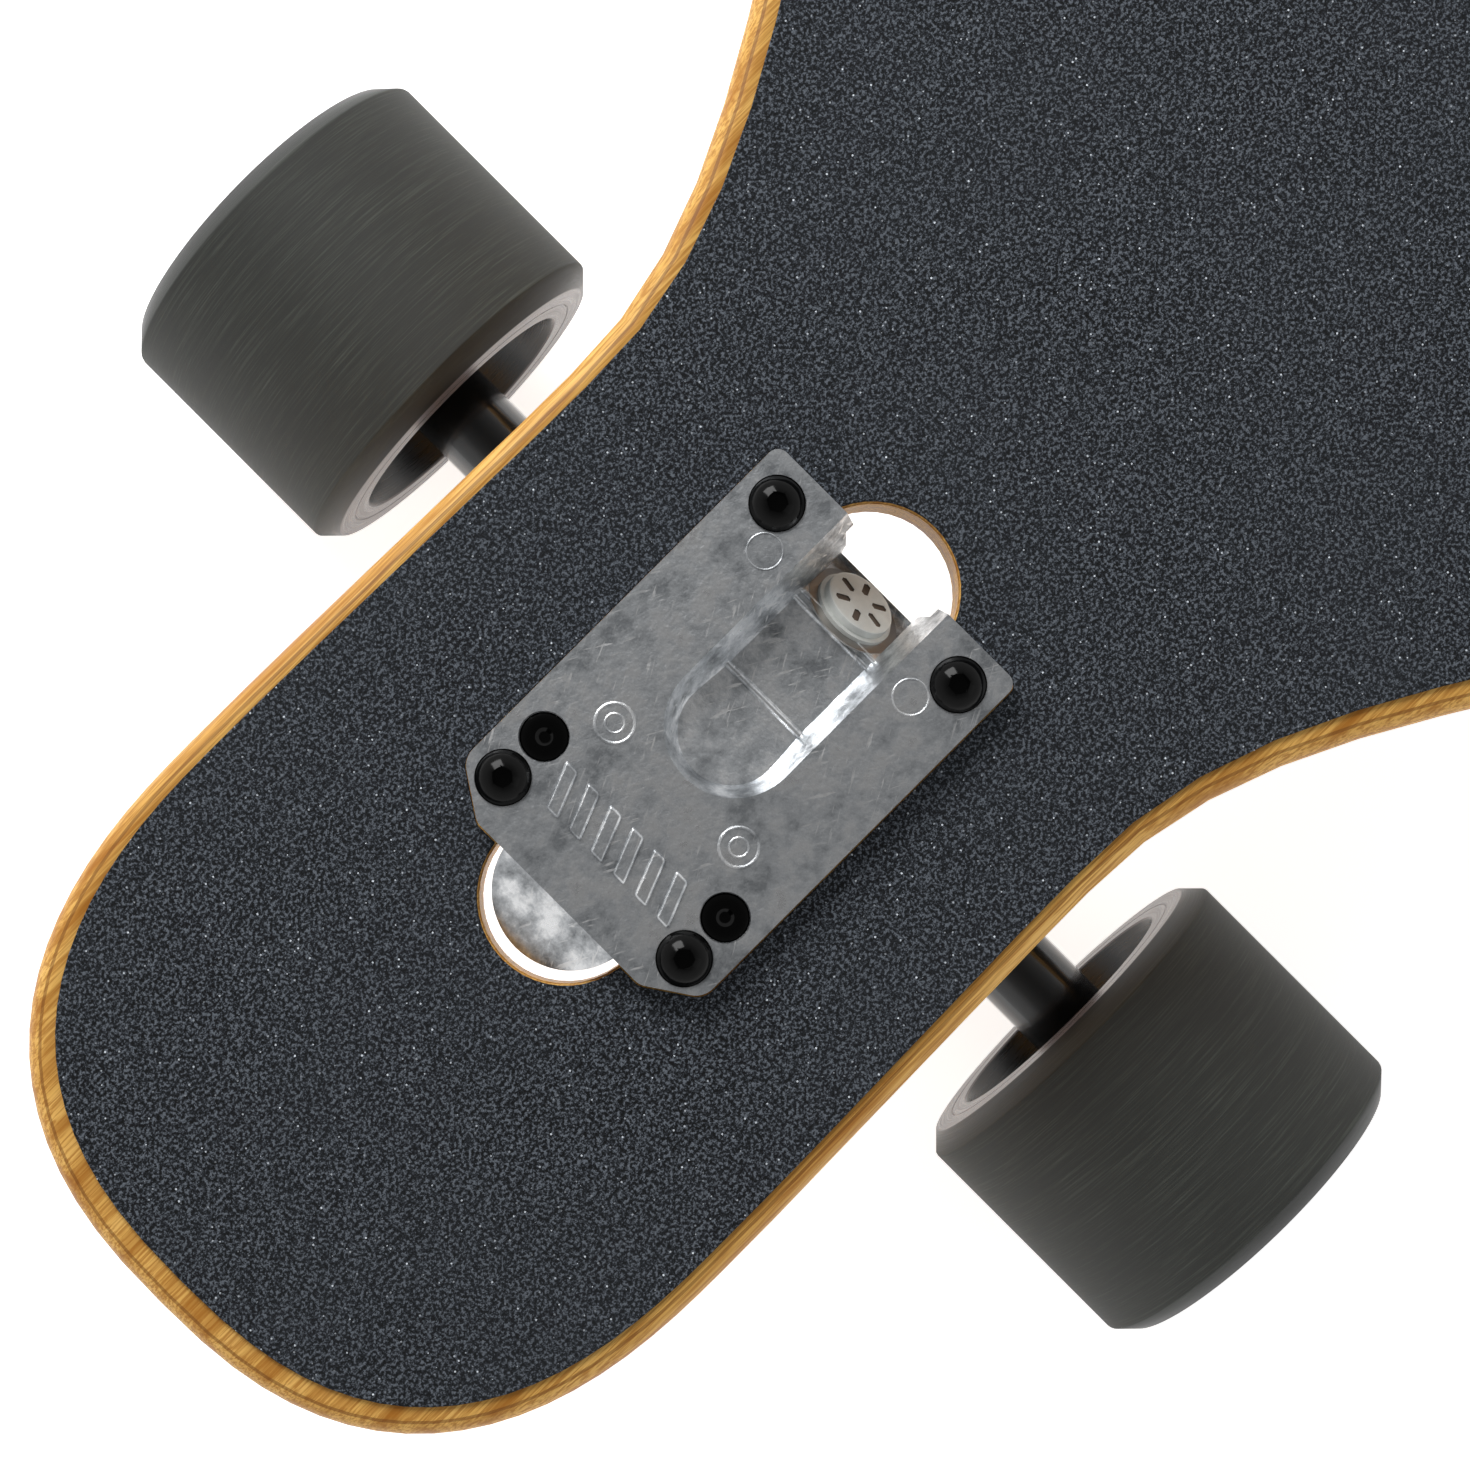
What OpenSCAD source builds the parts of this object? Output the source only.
// Electric skateboard: a drop-through bamboo longboard with reverse-kingpin trucks,
// a belt drive on the rear right wheel and an underslung battery enclosure.
// +X points to the nose, +Y to the rider's left, +Z up; the origin is on the ground
// under the middle of the deck.

/* [Deck] */
// Length of the deck
deck_length = 1040; // [960:10:1200]
// Greatest width of the deck, between the trucks
deck_width = 236; // [200:2:260]
// Thickness of the laminated deck
deck_thick = 12; // [10:0.5:14]
// Distance between the centres of the two truck bolt patterns
truck_span = 772; // [760:2:800]
// Width of the rounded nose and tail
nose_width = 125; // [120:1:130]
// Width of the neck beside the wheels
neck_width = 122; // [118:1:126]
// Length of the rounded end of the nose and tail
nose_round = 70; // [55:1:80]
// How square the nose and tail are: 2 makes a half ellipse
nose_power = 2.55; // [2:0.05:3]
// How far inboard of a truck the deck starts to widen
flare_start = 26; // [20:1:35]
// Length over which the deck widens to its full width
flare_length = 145; // [120:1:150]
// Thickness of the grip tape
tape_thick = 0.9; // [0.8:0.1:1.4]
// Bare wood left between the tape and the deck's edge along its sides
tape_margin = 3.8; // [2:0.1:6]
// Share by which that margin is wider at the nose and tail
tape_nose_share = 0.5; // [0:0.05:1]
// Width of the drop-through slot for a truck
slot_width = 28.6; // [28:0.1:32]
// How far the slot reaches outboard of the bolt pattern's centre
slot_outer = 52.8; // [52:0.1:56]
// How far the slot reaches inboard of the bolt pattern's centre
slot_inner = 47.6; // [46:0.1:52]

/* [Truck plate] */
// Thickness of the plate's flange on the deck
plate_thick = 5; // [4:0.5:7]
// Width of the plate
plate_width = 55.6; // [54:0.2:60]
// How far the plate reaches inboard of the pattern's centre
plate_inner = 38.8; // [38:0.2:42]
// How far the flat of the plate reaches outboard
plate_outer = 40; // [39:0.2:42]
// How far the bent tongue reaches outboard
tongue_outer = 50.4; // [46:0.2:51]
// Bolt spacing along the board
bolt_span_x = 63.5; // [60:0.5:66]
// Bolt spacing across the board
bolt_span_y = 42; // [41:0.5:43]
// Spacing of the spare, shorter hole pattern along the board
spare_span_x = 54; // [52:0.5:56]
// Diameter of the mounting bolts
bolt_d = 5; // [4:0.5:6]
// Diameter of a mounting bolt's domed head
bolt_head_d = 9.5; // [9:0.1:10]
// Half width of the recess over the kingpin, at its rim
recess_half = 11.7; // [11:0.1:12]
// How much each drafted wall of the recess leans in by its floor
recess_draft = 3.3; // [2.8:0.1:3.6]

/* [Steering] */
// Angle of the steering axis above the ground
steer_angle = 50; // [48:1:52]
// How far inboard the centre of the kingpin's head is
head_reach = 31.3; // [30:0.1:32]
// How far the centre of the kingpin's head is below the deck's top
head_drop = 6.5; // [5.5:0.1:7.5]
// Distance along the kingpin from its head to the middle of the hanger's ring
head_to_ring = 40; // [39:0.5:42]
// Diameter of the kingpin
kingpin_d = 9.5; // [8:0.1:10]
// Diameter of the bushings
bushing_d = 25; // [22:0.5:26]
// Height of each bushing
bushing_h = 11.5; // [10:0.1:12]
// Thickness of the hanger's ring
ring_h = 13; // [12:0.5:14]
// Diameter of the hanger's pivot nose
pivot_d = 11; // [9:0.5:12]

/* [Wheels] */
// Diameter of the wheels
wheel_d = 70; // [65:1:74]
// Width of the wheels
wheel_width = 51.5; // [46:0.5:54]
// Diameter of the wheel's hard core
core_d = 34; // [32:0.5:36]
// How far the axles are inboard of the pattern's centre
axle_inset = 9.5; // [8:0.1:11]
// Distance from the deck's top down to the axles
axle_drop = 63; // [60:0.5:66]
// Width of the hanger between its end faces
hanger_width = 180; // [176:1:184]
// Outer diameter of the hanger's arms
tube_d = 16; // [15:0.5:17]
// Diameter of the axles
axle_d = 8; // [7:0.1:8]

/* [Drive] */
// Teeth on the wheel pulley
wheel_teeth = 36; // [32:1:38]
// Teeth on the motor pulley
motor_teeth = 15; // [13:1:18]
// Width of the belt
belt_width = 15; // [12:0.5:15]
// Distance between the two pulley axes
pulley_centres = 76; // [74:0.5:82]
// Angle of the line between the pulley axes above the ground
drive_angle = 8; // [6:1:10]
// Diameter of the motor
motor_d = 52; // [48:1:54]
// Length of the motor's housing
motor_length = 62; // [50:1:68]

/* [Enclosure] */
// Length of the tub outside its walls
tub_length = 560; // [500:5:580]
// Width of the tub outside its walls
tub_width = 170; // [160:1:176]
// Depth of the tub below the gasket
tub_depth = 36; // [34:0.5:40]
// Thickness of the tub's walls
tub_wall = 3; // [2:0.1:4]
// Width of the tub's bolted flange
tub_flange = 12; // [11:0.5:14]
// Thickness of the gasket under the deck
gasket_thick = 1.5; // [1:0.1:3]
// Diameter of one battery cell
cell_d = 18.4; // [18:0.1:18.6]
// Length of one battery cell
cell_length = 65; // [60:0.5:68]
// Travel of the power button
button_travel = 1.5; // [1:0.1:2]

/* [Hidden] */
$fn = 96;
EPS = 0.01;

// Clearances: gap between parts that move past each other, a shaft's running fit,
// and the room round a bolt.
gap = 0.4;
running = 0.04;
bolt_room = 0.3;

// Heights of the deck's faces above the ground
deck_top = wheel_d / 2 + axle_drop;
deck_bottom = deck_top - deck_thick;

// Steering frame: its origin is the middle of the hanger's ring, +X runs up and outboard
// along the steering axis, and +Z runs up the kingpin to its head.
ca = cos(steer_angle);
sa = sin(steer_angle);
ring_x = head_to_ring * sa - head_reach;
ring_z = -head_drop - head_to_ring * ca;
// The axle in the steering frame: along the steering axis, and up the kingpin (its rake)
axle_t = (-axle_inset - ring_x) * ca + (-axle_drop - ring_z) * sa;
axle_k = (axle_inset + ring_x) * sa + (-axle_drop - ring_z) * ca;

washer_h = 2;
nut_h = 8;
ring_d = 32;
ring_bore = kingpin_d + 6.5;
seat_k = ring_h / 2 + bushing_h + washer_h;
head_h = 2.5;
head_d = 12.9;
kingpin_tip = seat_k + nut_h + 3;

// Pivot: mouth and end of its housing along the steering axis
pivot_cup_wall = 2.2;
housing_d = pivot_d + 2 * pivot_cup_wall + 4;
pivot_mouth = axle_t - tube_d / 2 - 0.6;
pivot_tip = pivot_mouth - 7.5;
pivot_end = pivot_tip - 3;
// The leg to the pivot stays this far above the steering axis, past the hanger's swing
leg_k = 9;
leg_half = (slot_width - 1.2) / 2;
// The slot's inboard wall, where it curves in beside the leg, and the leg's slant off it
slot_wall = slot_width / 2 - slot_inner - sqrt(pow(slot_width / 2, 2) - pow(leg_half, 2));
leg_slant = 1.4;

// Wheel stations along the axle
bearing_d = 22;
bearing_w = 7;
bearing_gap = 10.3;
washer_t = 1.5;
bearing_half = bearing_gap / 2 + bearing_w;
wheel_y = hanger_width / 2 + washer_t + gap + bearing_half;
core_half = bearing_half + 0.9;
axle_nut_h = 6;
axle_nut_af = 13;
axle_half = wheel_y + bearing_half + gap + washer_t + axle_nut_h + 1.9;
lip_r = wheel_d / 2 - 11;
bevel = 3.2;

// Belt drive
belt_pitch = 5;
tooth_drop = 0.57;
wheel_pulley_r = wheel_teeth * belt_pitch / (2 * PI) - tooth_drop;
motor_pulley_r = motor_teeth * belt_pitch / (2 * PI) - tooth_drop;
belt_thick = 2.2;
belt_gap = 0.5;
mount_thick = 6;
pulley_end = wheel_y - wheel_width / 2 - 1.3;
pulley_start = pulley_end - belt_width - 3;
mount_outer = pulley_start - 2.5;
mount_inner = mount_outer - mount_thick;
motor_x = -axle_inset + pulley_centres * cos(drive_angle);
motor_z = -axle_drop + pulley_centres * sin(drive_angle);
shaft_d = 8;
rotor_r = 16.4;
motor_wall = 2.6;

// Enclosure
tub_top = deck_bottom - gasket_thick;
tub_floor = tub_top - tub_depth;
tub_radius = 28;
cell_columns = 20;
cell_pitch = cell_d + 0.4;
battery_x = -62;
cells_z = tub_floor + tub_wall + 1.2 + cell_d / 2;
controller_x = 205;
window_x = 100;
window_y = 62;
side_z = tub_floor + tub_depth * 0.42;
port_x = 150;
button_x = 195;
port_bore_r = 6.2;
cap_hinge_up = 14.5;
cap_hinge_out = 3.6;

// ---- outlines ----------------------------------------------------------------

function unit(v) = v / norm(v);

// Points of the arc that rounds corner q, between neighbours p and s, with radius r
function corner(p, q, s, r, n) =
    let (u = unit(p - q), v = unit(s - q), half = acos(u * v) / 2,
         c = q + unit(u + v) * (r / sin(half)),
         t1 = q + u * (r / tan(half)) - c, t2 = q + v * (r / tan(half)) - c,
         a1 = atan2(t1[1], t1[0]), raw = atan2(t2[1], t2[0]) - a1,
         turn = raw > 180 ? raw - 360 : raw < -180 ? raw + 360 : raw)
    [for (i = [0 : n]) c + r * [cos(a1 + turn * i / n), sin(a1 + turn * i / n)]];

// A closed outline whose corners are given as [x, y, radius]
function rounded(pts, n = 8) = [
    for (i = [0 : len(pts) - 1])
        let (m = len(pts), p = pts[(i + m - 1) % m], q = pts[i], s = pts[(i + 1) % m])
        each (q[2] > 0
            ? corner([p[0], p[1]], [q[0], q[1]], [s[0], s[1]], q[2], n)
            : [[q[0], q[1]]])
];

// An outline and its mirror image in Y, joined
function both_sides(pts) =
    concat(pts, [for (i = [len(pts) - 1 : -1 : 0]) [pts[i][0], -pts[i][1], pts[i][2]]]);

// Half width of the deck at a distance x from its middle
function deck_half(x) =
    let (inboard = truck_span / 2 - x,
         t = (inboard - flare_start) / flare_length,
         nose = 1 - (deck_length / 2 - x) / nose_round)
    inboard > flare_start + flare_length ? deck_width / 2
    : inboard > flare_start ? neck_width / 2 + (deck_width - neck_width) / 4 * (1 - cos(180 * t))
    : nose > 0 ? nose_width / 2 * pow(max(0, 1 - pow(nose, nose_power)), 1 / nose_power)
    : (neck_width + nose_width) / 4
        + (neck_width - nose_width) / 4 * cos(180 * (flare_start - inboard)
            / (deck_length / 2 - nose_round - truck_span / 2 + flare_start));

// Stations along half of the deck, from the tip of the nose to the middle
nose_steps = 20;
side_steps = 36;
nose_root = deck_length / 2 - nose_round;
deck_stations = concat(
    [for (i = [0 : nose_steps]) nose_root + nose_round * cos(90 * i / nose_steps)],
    [for (i = [1 : side_steps]) nose_root * (1 - i / side_steps)]);

// The deck's outline, drawn in by a margin
function deck_outline(margin) =
    let (quarter = [for (x = deck_stations)
             let (y = deck_half(x), slope = (deck_half(x - 1) - deck_half(min(x + 1, deck_length / 2))),
                  n = x > deck_length / 2 - EPS ? [1, 0] : unit([slope, min(2, deck_length / 2 - x + 1)]))
             [x, y] - margin * (1 + tape_nose_share * n[0]) * n],
         m = len(quarter))
    concat(
        quarter,
        [for (i = [m - 2 : -1 : 0]) [-quarter[i][0], quarter[i][1]]],
        [for (i = [1 : m - 1]) [-quarter[i][0], -quarter[i][1]]],
        [for (i = [m - 2 : -1 : 1]) [quarter[i][0], -quarter[i][1]]]);

// ---- placing -----------------------------------------------------------------

// The truck frame: its origin is the bolt pattern's centre on the deck's top, with +X
// outboard; end is 1 at the front and -1 at the rear.
module truck(end) {
    translate([end * truck_span / 2, 0, deck_top]) rotate([0, 0, end > 0 ? 0 : 180]) children();
}

// The steering frame inside the truck frame
module steering() {
    translate([ring_x, 0, ring_z]) rotate([0, -steer_angle, 0]) children();
}

// A point of the steering frame's side view, in the truck frame's side view
function steered(t, k) = [ring_x + t * ca - k * sa, ring_z + t * sa + k * ca];

// A side-view outline, as [x, z] points, made w wide across the board
module side_view(pts, w) {
    rotate([90, 0, 0]) linear_extrude(w, center = true) polygon(pts);
}

// Children stand along +Y, at the axle of a truck
module at_axle() {
    translate([-axle_inset, 0, -axle_drop]) rotate([-90, 0, 0]) children();
}

// Children at each bolt of a truck's pattern
module at_bolts() {
    for (x = [-1, 1], y = [-1, 1])
        translate([x * bolt_span_x / 2, y * bolt_span_y / 2, 0]) children();
}

module hexagon(af, h) {
    cylinder(d = af / cos(30), h = h, $fn = 6);
}

module tube(od, id, h) {
    difference() {
        cylinder(d = od, h = h);
        translate([0, 0, -1]) cylinder(d = id, h = h + 2);
    }
}

// ---- deck --------------------------------------------------------------------

// The slot that a truck drops through, in the truck frame, h high about z = 0
module slot_cut(h, grow = 0) {
    r = slot_width / 2 + grow;
    for (x = [slot_outer - slot_width / 2, slot_width / 2 - slot_inner])
        translate([x, 0, 0]) cylinder(r = r, h = h, center = true);
    translate([(slot_outer - slot_inner) / 2, 0, 0])
        cube([slot_outer + slot_inner - slot_width, 2 * r, h], center = true);
}

module deck() {
    color("burlywood") difference() {
        translate([0, 0, deck_bottom]) linear_extrude(deck_thick) polygon(deck_outline(0));
        for (end = [-1, 1]) truck(end) {
            slot_cut(3 * deck_thick);
            at_bolts() cylinder(d = bolt_d + 2 * bolt_room, h = 3 * deck_thick, center = true);
        }
    }
}

// Grip tape, cut out round each truck plate and round the slot's bare edge
module grip_tape() {
    color("#2f3338") difference() {
        translate([0, 0, deck_top]) linear_extrude(tape_thick)
            polygon(deck_outline(tape_margin));
        for (end = [-1, 1]) truck(end) {
            slot_cut(10, 0.4);
            translate([0, 0, -5]) linear_extrude(10) polygon(rounded(plate_outline(0.4)));
        }
    }
}

// ---- truck plate, fixed to the deck ------------------------------------------

// Outline of the plate's flat, grown by g, as corners with radii
function plate_outline(g) = both_sides([
    [-plate_inner - g, plate_width / 2 + g, 2],
    [plate_outer - 6 + g / 2, plate_width / 2 + g, 4],
    [plate_outer + g, plate_width / 2 - 9 + g / 2, 3]]);

recess_floor = [plate_thick - 5, plate_thick - 9];
pocket_outer = 10.7;
pocket_inner = -8;
tongue_half = slot_width / 2 - 1.3;

module baseplate() {
    color("#a9abad") difference() {
        union() {
            linear_extrude(plate_thick) polygon(rounded(plate_outline(0)));
            tongue();
            pivot_leg();
            steering() translate([pivot_end, 0, 0]) rotate([0, 90, 0])
                cylinder(d = housing_d, h = pivot_mouth - pivot_end);
        }
        plate_recess();
        at_bolts() cylinder(d = bolt_d + 2 * bolt_room, h = 40, center = true);
        spare_holes();
        steering() {
            cylinder(d = kingpin_d + 2 * running, h = 2 * head_to_ring, center = true);
            translate([pivot_tip - 1.5, 0, 0]) rotate([0, 90, 0])
                cylinder(d = pivot_d + 2 * pivot_cup_wall, h = 60);
            // Flat for the washer, clear of the hanger's swing
            translate([0, 0, seat_k - 40]) cylinder(d = ring_d + 3, h = 40);
        }
    }
}

// The bright tongue that bends down into the slot
module tongue() {
    drop = 7;
    root = plate_outer - 6;
    intersection() {
        side_view([[root, plate_thick], [plate_outer, plate_thick],
                   [tongue_outer, plate_thick - drop], [tongue_outer, plate_thick - drop - 3.5],
                   [plate_outer - 1, 0], [root, 0]], 2 * tongue_half);
        union() {
            translate([tongue_outer - tongue_half, 0, 0])
                cylinder(r = tongue_half, h = 40, center = true);
            translate([root - 20, -tongue_half, -20])
                cube([tongue_outer - tongue_half - root + 20, 2 * tongue_half, 40]);
        }
    }
}

// The wedge under the plate: kingpin seat above, pivot housing at its foot, and the
// wall that closes the recess's pocket from below
module pivot_leg() {
    r = housing_d / 2;
    inner_top = slot_wall + gap;
    inner = inner_top + leg_slant;
    seat_top = (-ring_z - seat_k * ca) / sa;
    pocket_wall = 3.2;
    side_view([[pocket_outer + pocket_wall, 0], [pocket_outer, -pocket_wall],
               [pocket_inner, recess_floor[1] - pocket_wall], [pocket_inner, 0]], 2 * leg_half);
    side_view([
        [inner_top, 0], [inner, -5], [inner, -16], steered(pivot_end, r), steered(pivot_end, 0),
        steered(pivot_mouth, 0), steered(pivot_mouth, leg_k),
        steered(-ring_d / 2 - 3, leg_k), steered(-ring_d / 2 - 3, seat_k),
        steered(seat_top, seat_k)], 2 * leg_half);
}

// Recess over the kingpin's head, open at the plate's inboard end, with drafted walls
module plate_recess() {
    seat = head_to_ring - head_h;
    shelf_t = (recess_floor[1] - ring_z - seat * ca) / sa;
    far = 40;
    intersection() {
        union() {
            translate([pocket_outer - recess_half, 0, recess_floor[1]]) recess_funnel(far);
            translate([-far - plate_inner, recess_draft - recess_half, -far])
                cube([far + plate_inner, 2 * (recess_half - recess_draft), far]);
        }
        side_view([
            [pocket_outer + 1, far], [pocket_outer + 1, recess_floor[0]],
            [pocket_inner, recess_floor[1]], steered(shelf_t, seat),
            steered(-8.5, seat), steered(-8.5, seat + far)], 3 * recess_half);
    }
}

// Upper part of the recess: a round end and a run inboard, wider at the rim
module recess_funnel(run) {
    depth = plate_thick - recess_floor[1];
    low = recess_half - recess_draft;
    above = 1;
    high = recess_half + above * recess_draft / depth;
    cylinder(r1 = low, r2 = high, h = depth + above);
    rotate([90, 0, -90]) linear_extrude(run)
        polygon([[-low, 0], [low, 0], [high, depth + above], [-high, depth + above]]);
}

// The shorter pattern's unused holes, counterbored
module spare_holes() {
    for (y = [-1, 1])
        translate([spare_span_x - bolt_span_x / 2, y * bolt_span_y / 2, 0]) {
            cylinder(d = bolt_d + 2 * bolt_room, h = 40, center = true);
            translate([0, 0, plate_thick - 1.5]) cylinder(d = 8.5, h = 10);
        }
}

module pivot_cup() {
    color("#d8d2c4") steering() difference() {
        translate([pivot_tip - 1.5, 0, 0]) rotate([0, 90, 0])
            cylinder(d = pivot_d + 2 * pivot_cup_wall, h = pivot_mouth - pivot_tip + 1.5);
        rotate([0, 90, 0]) translate([0, 0, pivot_tip - 0.3])
            cylinder(d = pivot_d + 2 * running, h = 60);
    }
}

module kingpin() {
    color("#c9ccc8") steering() {
        translate([0, 0, head_to_ring - head_h]) cylinder(d = head_d, h = head_h);
        translate([0, 0, head_to_ring - head_h]) cylinder(d = head_d + 1.6, h = 0.8);
        translate([0, 0, -kingpin_tip]) cylinder(d = kingpin_d, h = kingpin_tip + head_to_ring - 1);
    }
}

// One bushing between the ring and a washer; side is 1 towards the deck, -1 to the road
module bushing(side) {
    color("#22252a") steering() mirror([0, 0, side > 0 ? 0 : 1]) translate([0, 0, ring_h / 2])
        difference() {
            cylinder(d = bushing_d, h = bushing_h);
            translate([0, 0, -1]) cylinder(d = kingpin_d + 2 * running, h = bushing_h + 2);
        }
}

module cupped_washers() {
    color("silver") steering() for (side = [0, 1]) mirror([0, 0, side])
        translate([0, 0, seat_k - washer_h]) tube(bushing_d - 1, kingpin_d + 2 * running, washer_h);
}

module kingpin_nut() {
    color("silver") steering() translate([0, 0, -seat_k - nut_h]) difference() {
        hexagon(14.3, nut_h);
        translate([0, 0, -1]) cylinder(d = kingpin_d + 2 * running, h = nut_h + 2);
    }
}

// Domed socket bolts: head on the plate, shank through the deck
module mount_bolts() {
    head_h = 2.8;
    reach = deck_thick + 7;
    dome = (pow(bolt_head_d / 2, 2) + head_h * head_h) / (2 * head_h);
    color("#151515") for (end = [-1, 1]) truck(end) at_bolts() difference() {
        union() {
            intersection() {
                translate([0, 0, plate_thick + head_h - dome]) sphere(r = dome);
                translate([0, 0, plate_thick]) cylinder(d = bolt_head_d, h = head_h);
            }
            translate([0, 0, -reach]) cylinder(d = bolt_d, h = reach + plate_thick + 0.5);
        }
        translate([0, 0, plate_thick + head_h - 1.8]) hexagon(3, 5);
    }
}

module mount_nuts() {
    h = 5;
    color("silver") for (end = [-1, 1]) truck(end) at_bolts()
        translate([0, 0, -deck_thick - h]) difference() {
            union() {
                hexagon(8, h);
                translate([0, 0, h - 1]) cylinder(d = 10, h = 1);
            }
            translate([0, 0, -1]) cylinder(d = bolt_d + 2 * running, h = h + 2);
        }
}

// ---- hanger and axle ---------------------------------------------------------

module hanger() {
    arm_root = ring_d / 2 - 1;
    color("#191a1c") difference() {
        union() {
            steering() {
                cylinder(d = ring_d, h = ring_h, center = true);
                hanger_web();
                hanger_gusset();
                translate([pivot_tip + pivot_d / 2, 0, 0]) {
                    sphere(d = pivot_d);
                    rotate([0, 90, 0]) cylinder(d = pivot_d, h = -arm_root - pivot_tip);
                }
            }
            at_axle() cylinder(d = tube_d, h = hanger_width, center = true);
        }
        steering() cylinder(d = ring_bore, h = 40, center = true);
        at_axle() cylinder(d = axle_d + 2 * running, h = hanger_width + 2, center = true);
    }
}

// Web between the ring, the pivot nose and the axle
module hanger_web() {
    low = axle_k - tube_d / 2 + 1;
    rotate([90, 0, 0]) linear_extrude(22, center = true) polygon([
        [-ring_bore / 2 - 2, ring_h / 2], [axle_t, ring_h / 2 - 0.5],
        [pivot_mouth + 2.5, ring_h / 2 - 2], [pivot_mouth + 2.5, axle_k + 4],
        [axle_t + 3, low], [-bushing_d / 2 - 4, -ring_h / 2 - 2],
        [-bushing_d / 2 - 1, -ring_h / 2], [-ring_bore / 2 - 2, -ring_h / 2]]);
}

// Triangular gussets that spread the load from the web along the arms
module hanger_gusset() {
    reach = mount_inner - 4;
    near = -bushing_d / 2 - 3.5;
    translate([0, 0, axle_k - 5]) linear_extrude(10) polygon([
        [near, 11], [axle_t + 3, reach], [axle_t - 4, reach], [axle_t - 6, 11],
        [axle_t - 6, -11], [axle_t - 4, -reach], [axle_t + 3, -reach], [near, -11]]);
}

module axle() {
    color("silver") at_axle() cylinder(d = axle_d, h = 2 * axle_half, center = true);
}

// Speed washers on both sides of each wheel, and the locking nuts
module axle_hardware() {
    outer = wheel_y + bearing_half + gap;
    color("silver") at_axle() for (side = [0, 1]) mirror([0, 0, side]) {
        translate([0, 0, hanger_width / 2]) tube(13, axle_d + 2 * running, washer_t);
        translate([0, 0, outer]) tube(13, axle_d + 2 * running, washer_t);
        translate([0, 0, outer + washer_t]) difference() {
            hexagon(axle_nut_af, axle_nut_h);
            translate([0, 0, -1]) cylinder(d = axle_d + 2 * running, h = axle_nut_h + 2);
        }
    }
}

// ---- wheels ------------------------------------------------------------------

// Children stand along +Y at a wheel's middle; side is 1 on the left, -1 on the right
module at_wheel(end, side) {
    translate([end * (truck_span / 2 - axle_inset), side * wheel_y, wheel_d / 2])
        rotate([-90, 0, 0]) children();
}

module wheel_tyre() {
    r = wheel_d / 2;
    h = wheel_width / 2;
    root = core_d / 2;
    color("#33383a") rotate_extrude() polygon([
        [root, -core_half], [root + 2.5, -core_half], [lip_r, -h], [r - bevel, -h],
        [r, bevel - h], [r, h - bevel], [r - bevel, h], [lip_r, h],
        [root + 2.5, core_half], [root, core_half]]);
}

// Core with a seat for each bearing and a shoulder between them
module wheel_core() {
    seat = bearing_d / 2;
    step = bearing_gap / 2;
    color("#111213") difference() {
        rotate_extrude() polygon([
            [seat, -core_half], [core_d / 2, -core_half], [core_d / 2, core_half],
            [seat, core_half], [seat, step], [seat - 3, step], [seat - 3, -step],
            [seat, -step]]);
        for (i = [0 : 5]) rotate([0, 0, 60 * i]) translate([14, 0, 0])
            cylinder(d = 2.6, h = 2 * core_half + 2, center = true);
    }
}

// Two bearings and the spacer between them
module wheel_bearings() {
    color("silver") {
        for (side = [0, 1]) mirror([0, 0, side]) translate([0, 0, bearing_gap / 2])
            difference() {
                tube(bearing_d, axle_d + 2 * running, bearing_w);
                translate([0, 0, bearing_w - 0.5]) tube(bearing_d - 3, axle_d + 4, 2);
            }
        translate([0, 0, -bearing_gap / 2 + 0.05]) tube(10.5, axle_d + 2 * running, bearing_gap - 0.1);
    }
}

// ---- belt drive, on the rear truck -------------------------------------------

// The motor's axis in the truck frame; children stand along +Y
module at_motor() {
    translate([motor_x, 0, motor_z]) rotate([-90, 0, 0]) children();
}

// Closed line round two circles: r1 at the axle, r2 at the motor
function belt_line(r1, r2, n = 48) =
    let (open = acos((r1 - r2) / pulley_centres))
    concat(
        [for (i = [0 : n]) let (a = open + (360 - 2 * open) * i / n) r1 * [cos(a), sin(a)]],
        [for (i = [0 : n]) let (a = open * (2 * i / n - 1))
            [pulley_centres, 0] + r2 * [cos(a), sin(a)]]);

// Children are drawn flat with +X from the axle to the motor, and stand along +Y
module drive_plane(y) {
    translate([-axle_inset, y, -axle_drop]) rotate([-90, -drive_angle, 0]) children();
}

// Toothed rim: grooves cut on the pitch circle
module toothed(r, teeth, h) {
    difference() {
        cylinder(r = r, h = h);
        for (i = [0 : teeth - 1]) rotate([0, 0, 360 * i / teeth]) translate([r, 0, -1])
            cylinder(r = 1.5, h = h + 2, $fn = 24);
    }
}

module wheel_pulley() {
    core_face = wheel_y - core_half;
    color("#202224") truck(-1) at_axle() difference() {
        union() {
            translate([0, 0, pulley_start]) toothed(wheel_pulley_r, wheel_teeth, pulley_end - pulley_start);
            translate([0, 0, pulley_start]) cylinder(r = core_d / 2 + 1.2, h = core_face - pulley_start);
        }
        translate([0, 0, pulley_start - 1]) cylinder(d = tube_d + 3, h = 60);
        for (i = [0 : 5]) rotate([0, 0, 60 * i]) translate([14, 0, pulley_start - 1])
            cylinder(d = 2.6, h = 60);
    }
}

module motor_pulley() {
    flange = 1;
    color("#c4c6c8") truck(-1) at_motor() difference() {
        union() {
            translate([0, 0, pulley_start + flange])
                toothed(motor_pulley_r, motor_teeth, pulley_end - pulley_start - 2 * flange);
            for (z = [pulley_start, pulley_end - flange]) translate([0, 0, z])
                cylinder(r = motor_pulley_r + 1.2, h = flange);
        }
        translate([0, 0, pulley_start - 1]) cylinder(d = shaft_d + 2 * running, h = 40);
    }
}

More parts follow.
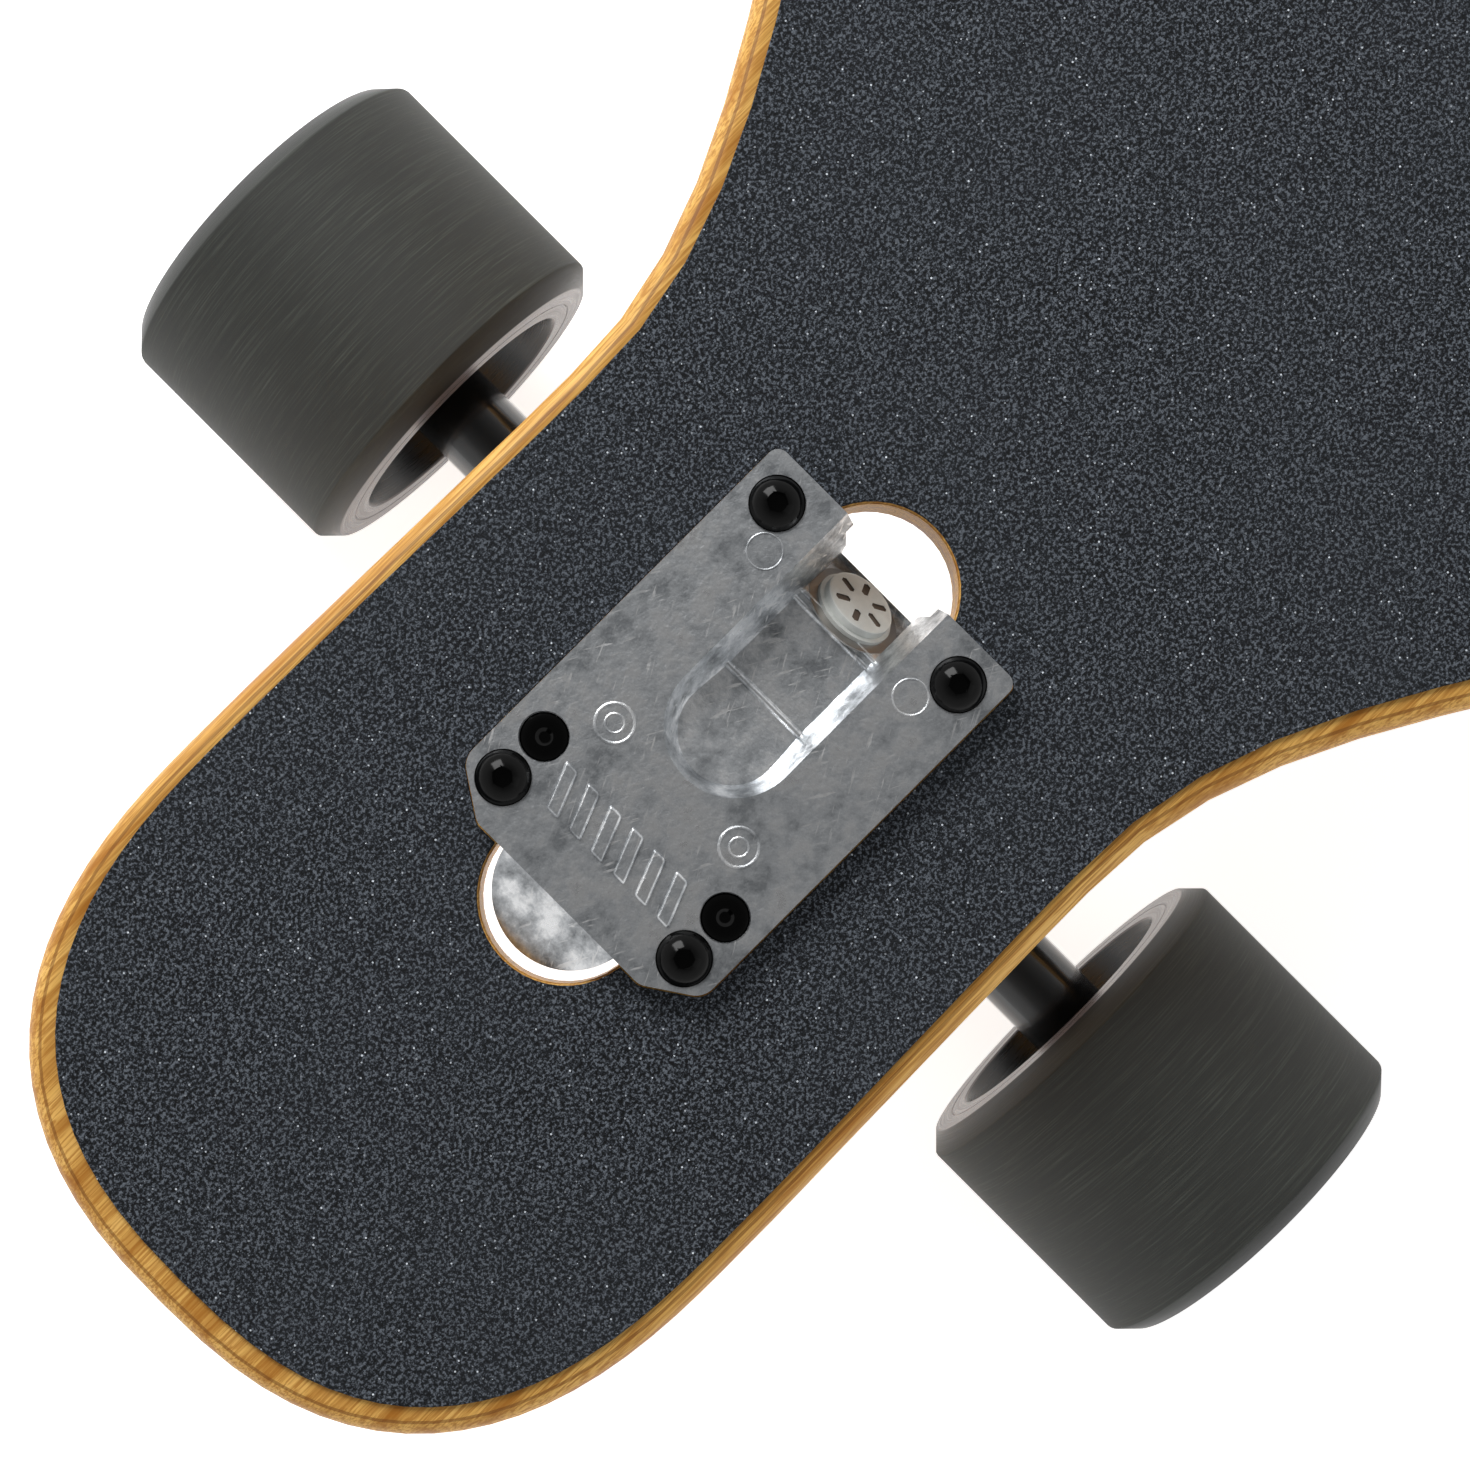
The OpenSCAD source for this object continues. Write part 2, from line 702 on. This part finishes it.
// The belt runs just outside the pulleys' tooth tips
module drive_belt() {
    r1 = wheel_pulley_r + belt_gap;
    r2 = motor_pulley_r + belt_gap;
    color("#101010") truck(-1) drive_plane((pulley_start + pulley_end) / 2)
        linear_extrude(belt_width, center = true) difference() {
            polygon(belt_line(r1 + belt_thick, r2 + belt_thick));
            polygon(belt_line(r1, r2));
        }
}

// Plate clamped on the hanger's arm, carrying the motor
module motor_mount() {
    clamp_r = tube_d / 2 + 7;
    color("#8f9295") truck(-1) difference() {
        union() {
            drive_plane(mount_inner) linear_extrude(mount_thick)
                polygon(belt_line(clamp_r, motor_d / 2 - 3));
            translate([-axle_inset - clamp_r - 7, mount_inner, -axle_drop - 7])
                cube([clamp_r, mount_thick, 14]);
        }
        at_axle() translate([0, 0, mount_inner - 1]) cylinder(d = tube_d + 2 * running, h = mount_thick + 2);
        translate([-axle_inset - clamp_r - 10, mount_inner - 1, -axle_drop - 1])
            cube([clamp_r + 10, mount_thick + 2, 2]);
        translate([-axle_inset - clamp_r - 3.5, mount_inner + mount_thick / 2, -axle_drop])
            cylinder(d = 3.4, h = 40, center = true);
        at_motor() translate([0, 0, mount_inner - 1]) {
            cylinder(d = 20, h = mount_thick + 2);
            motor_screw_ring() cylinder(d = 4.4, h = mount_thick + 2);
        }
    }
}

// Children at the four screws that hold the motor
module motor_screw_ring() {
    for (i = [0 : 3]) rotate([0, 0, 45 + 90 * i]) translate([15, 0, 0]) children();
}

// Four motor screws and the clamp's pinch screw
module motor_screws() {
    clamp_r = tube_d / 2 + 7;
    color("#2a2a2a") truck(-1) {
        at_motor() motor_screw_ring() {
            translate([0, 0, mount_outer]) cylinder(d = 7, h = 2);
            translate([0, 0, mount_inner]) cylinder(d = 4.2, h = mount_thick + 0.1);
        }
        translate([-axle_inset - clamp_r - 3.5, mount_inner + mount_thick / 2, -axle_drop]) {
            translate([0, 0, 7]) cylinder(d = 5.6, h = 3);
            translate([0, 0, -7]) cylinder(d = 3.2, h = 14.5);
        }
    }
}

// Hollow can with end plates and a boss for the lead
module motor_housing() {
    r = motor_d / 2;
    color("#1d1e20") truck(-1) at_motor() translate([0, 0, mount_inner - motor_length])
        difference() {
            union() {
                cylinder(r = r, h = motor_length);
                translate([0, -r + 1, 12]) rotate([90, 0, 0]) cylinder(d = 10, h = 4);
            }
            translate([0, 0, motor_wall]) cylinder(r = r - motor_wall, h = motor_length - 2 * motor_wall);
            translate([0, 0, -1]) cylinder(d = shaft_d + 2 * gap, h = motor_length + 2);
        }
}

// Wound stator ring inside the housing
module motor_stator() {
    r = motor_d / 2 - motor_wall;
    h = motor_length - 2 * motor_wall - 16;
    color("#b06a35") truck(-1) at_motor()
        translate([0, 0, mount_inner - motor_length + motor_wall + 8])
        difference() {
            cylinder(r = r, h = h);
            translate([0, 0, -1]) cylinder(r = rotor_r + gap, h = h + 2);
        }
}

module motor_rotor() {
    h = motor_length - 2 * motor_wall - 12;
    color("#8c8f92") truck(-1) at_motor() {
        translate([0, 0, mount_inner - motor_length + motor_wall + 6]) cylinder(r = rotor_r, h = h);
        translate([0, 0, mount_inner - motor_length + 1])
            cylinder(d = shaft_d, h = motor_length - 1 + pulley_end - mount_inner);
    }
}

// ---- enclosure ---------------------------------------------------------------

// Outline of the tub grown by g
module tub_outline(g) {
    x = tub_length / 2 + g;
    y = tub_width / 2 + g;
    r = tub_radius + g;
    polygon(rounded([[x, y, r], [-x, y, r], [-x, -y, r], [x, -y, r]], 12));
}

// Children at the flange's screws
module at_tub_screws() {
    x = tub_length / 2 + tub_flange / 2;
    y = tub_width / 2 + tub_flange / 2;
    for (s = [-1, 1]) {
        for (i = [-2 : 2]) translate([i * tub_length * 0.2, s * y, 0]) children();
        for (j = [-1, 1]) translate([s * x, j * tub_width * 0.25, 0]) children();
    }
}

module enclosure_tub() {
    color("#1b1c1e") difference() {
        union() {
            translate([0, 0, tub_floor]) linear_extrude(tub_depth) tub_outline(0);
            translate([0, 0, tub_top - tub_wall]) linear_extrude(tub_wall) tub_outline(tub_flange);
        }
        translate([0, 0, tub_floor + tub_wall]) linear_extrude(tub_depth) tub_outline(-tub_wall);
        at_tub_screws() translate([0, 0, tub_top - 10]) cylinder(d = 4.6, h = 20);
        translate([controller_x - window_x / 2, -window_y / 2, tub_floor - 1])
            cube([window_x, window_y, tub_wall + 2]);
        on_side_wall(port_x) cylinder(d = 18.2, h = 20, center = true);
        on_side_wall(button_x) cylinder(d = 14.2, h = 20, center = true);
        on_end_wall() cylinder(d = 12.2, h = 20, center = true);
    }
}

// Children stand out of the tub's right wall, from its outer face
module on_side_wall(x) {
    translate([x, -tub_width / 2, side_z]) rotate([90, 0, 0]) children();
}

// Children stand out of the tub's rear wall, from its outer face
module on_end_wall() {
    translate([-tub_length / 2, 0, side_z]) rotate([0, -90, 0]) children();
}

module enclosure_gasket() {
    color("#3a3d40") translate([0, 0, tub_top]) difference() {
        linear_extrude(gasket_thick) tub_outline(tub_flange);
        translate([0, 0, -1]) linear_extrude(gasket_thick + 2) tub_outline(0);
        at_tub_screws() translate([0, 0, -1]) cylinder(d = 4.6, h = gasket_thick + 2);
    }
}

module enclosure_screws() {
    color("#d0d2d4") at_tub_screws() translate([0, 0, tub_top - tub_wall]) {
        translate([0, 0, -2.4]) difference() {
            cylinder(d = 8, h = 2.4);
            translate([0, 0, -1]) hexagon(2.5, 2.4);
        }
        translate([0, 0, -0.1]) cylinder(d = 4, h = tub_wall + gasket_thick);
    }
}

// Children at each pair of battery cells, one column along the board at a time
module at_cells() {
    for (i = [0 : cell_columns - 1], s = [-1, 1])
        translate([battery_x + (i - (cell_columns - 1) / 2) * cell_pitch,
                   s * (cell_length / 2 + 3), cells_z]) children();
}

module battery_cells() {
    color("#3f7d9c") at_cells() rotate([90, 0, 0])
        cylinder(d = cell_d, h = cell_length, center = true);
}

// Nickel links across the ends of each pair of columns
module battery_links() {
    z = cells_z;
    t = 0.3;
    color("#c9c6b8") for (i = [0 : 2 : cell_columns - 2], y = [-1, 1], e = [-1, 1])
        translate([battery_x + (i + 0.5 - (cell_columns - 1) / 2) * cell_pitch,
                   y * (cell_length / 2 + 3) + e * (cell_length / 2 + t / 2), z])
            cube([cell_pitch + 10, t, 8], center = true);
}

module bms_board() {
    z = cells_z + cell_d / 2 + 1;
    color("#1f5f3a") translate([battery_x, 0, z]) {
        translate([-60, -30, 0]) cube([120, 60, 1.6]);
        for (i = [-2 : 2]) translate([i * 20 - 5, -6, 1.6 - EPS]) cube([10, 12, 3]);
    }
}

// Finned plate that closes the window in the tub's floor
module heat_sink() {
    base = tub_floor + tub_wall;
    color("#9a9da0") {
        translate([controller_x - window_x / 2 - 6, -window_y / 2 - 6, base])
            cube([window_x + 12, window_y + 12, 3]);
        for (i = [0 : 9])
            translate([controller_x - window_x / 2 + 1, -window_y / 2 + 1.5 + i * (window_y - 5) / 9,
                       tub_floor])
                cube([window_x - 2, 2, tub_wall + 1]);
    }
}

module speed_controller() {
    base = tub_floor + tub_wall + 3;
    color("#26282b") translate([controller_x - 45, -35, base]) {
        cube([90, 70, 14]);
        for (i = [0 : 3]) translate([14 + i * 20, 12, 14 - EPS]) cylinder(d = 12, h = 10);
    }
}

module receiver() {
    z = tub_floor + tub_wall + 3 + 14;
    color("#17181a") translate([controller_x - 20, 6, z]) cube([38, 24, 7]);
}

module charge_port() {
    color("#0f1011") on_side_wall(port_x) {
        difference() {
            union() {
                cylinder(d = 25, h = 2);
                translate([0, 0, -10]) cylinder(d = 18, h = 11);
                port_lugs();
            }
            translate([0, 0, -8]) cylinder(r = port_bore_r, h = 12);
        }
    }
}

// Two lugs above the socket that hold the cap's hinge pin
module port_lugs() {
    for (s = [-1, 1]) translate([s * 6.5, 0, 0]) rotate([90, 0, 90])
        linear_extrude(2.4, center = true)
            polygon([[9, 0], [cap_hinge_up + 2.2, 0], [cap_hinge_up + 2.2, cap_hinge_out + 1.8],
                     [cap_hinge_up - 1.5, cap_hinge_out + 1.8], [9, 2]]);
    translate([0, cap_hinge_up, cap_hinge_out]) rotate([0, 90, 0])
        cylinder(d = 1.8, h = 13, center = true);
}

module charge_cap() {
    back = 2 + gap;
    color("#141516") on_side_wall(port_x) difference() {
        union() {
            translate([0, 0, back]) cylinder(d = 21, h = 2.4);
            translate([0, 0, -3]) cylinder(r = port_bore_r - 1.4, h = 3 + back + 1);
            translate([-4, 0, back]) cube([8, cap_hinge_up, 2.4]);
            translate([0, cap_hinge_up, cap_hinge_out]) rotate([0, 90, 0])
                cylinder(d = 4, h = 9, center = true);
        }
        translate([0, cap_hinge_up, cap_hinge_out]) rotate([0, 90, 0])
            cylinder(d = 1.8 + 2 * running, h = 20, center = true);
    }
}

module button_bezel() {
    color("#b9bcbf") on_side_wall(button_x) {
        difference() {
            union() {
                cylinder(d = 18, h = 2);
                translate([0, 0, -12]) cylinder(d = 14, h = 13);
            }
            translate([0, 0, -7 - button_travel]) cylinder(d = 10.6, h = 20);
        }
    }
}

module power_button() {
    color("#3a3d40") on_side_wall(button_x) translate([0, 0, -6]) cylinder(d = 10, h = 10);
}

// Gland for the motor lead, with a nut inside the wall
module cable_gland() {
    bore = 6;
    color("#111213") on_end_wall() difference() {
        union() {
            translate([0, 0, -8]) cylinder(d = 12, h = 20);
            hexagon(16, 5);
            translate([0, 0, -tub_wall - 4]) hexagon(15, 4);
        }
        translate([0, 0, -9]) cylinder(d = bore, h = 30);
    }
}

// ---- assembly ----------------------------------------------------------------

deck();
grip_tape();
truck(1) baseplate();  // front_baseplate
truck(1) pivot_cup();  // front_pivot_cup
truck(1) kingpin();  // front_kingpin
truck(1) bushing(1);  // front_boardside_bushing
truck(1) bushing(-1);  // front_roadside_bushing
truck(1) cupped_washers();  // front_cupped_washers
truck(1) kingpin_nut();  // front_kingpin_nut
truck(-1) baseplate();  // rear_baseplate
truck(-1) pivot_cup();  // rear_pivot_cup
truck(-1) kingpin();  // rear_kingpin
truck(-1) bushing(1);  // rear_boardside_bushing
truck(-1) bushing(-1);  // rear_roadside_bushing
truck(-1) cupped_washers();  // rear_cupped_washers
truck(-1) kingpin_nut();  // rear_kingpin_nut
mount_bolts();
mount_nuts();
enclosure_tub();
enclosure_gasket();
enclosure_screws();
battery_cells();
battery_links();
bms_board();
speed_controller();
heat_sink();
receiver();
charge_port();
button_bezel();
cable_gland();
truck(1) hanger();  // front_hanger
truck(1) axle();  // front_axle
truck(1) axle_hardware();  // front_axle_hardware
truck(-1) hanger();  // rear_hanger
truck(-1) axle();  // rear_axle
truck(-1) axle_hardware();  // rear_axle_hardware
motor_mount();
motor_screws();
motor_housing();
motor_stator();
drive_belt();
motor_rotor();
motor_pulley();
at_wheel(1, 1) wheel_tyre();  // front_left_tyre
at_wheel(1, 1) wheel_core();  // front_left_core
at_wheel(1, 1) wheel_bearings();  // front_left_bearings
at_wheel(1, -1) wheel_tyre();  // front_right_tyre
at_wheel(1, -1) wheel_core();  // front_right_core
at_wheel(1, -1) wheel_bearings();  // front_right_bearings
at_wheel(-1, 1) wheel_tyre();  // rear_left_tyre
at_wheel(-1, 1) wheel_core();  // rear_left_core
at_wheel(-1, 1) wheel_bearings();  // rear_left_bearings
at_wheel(-1, -1) wheel_tyre();  // rear_right_tyre
at_wheel(-1, -1) wheel_core();  // rear_right_core
at_wheel(-1, -1) wheel_bearings();  // rear_right_bearings
wheel_pulley();
power_button();
charge_cap();
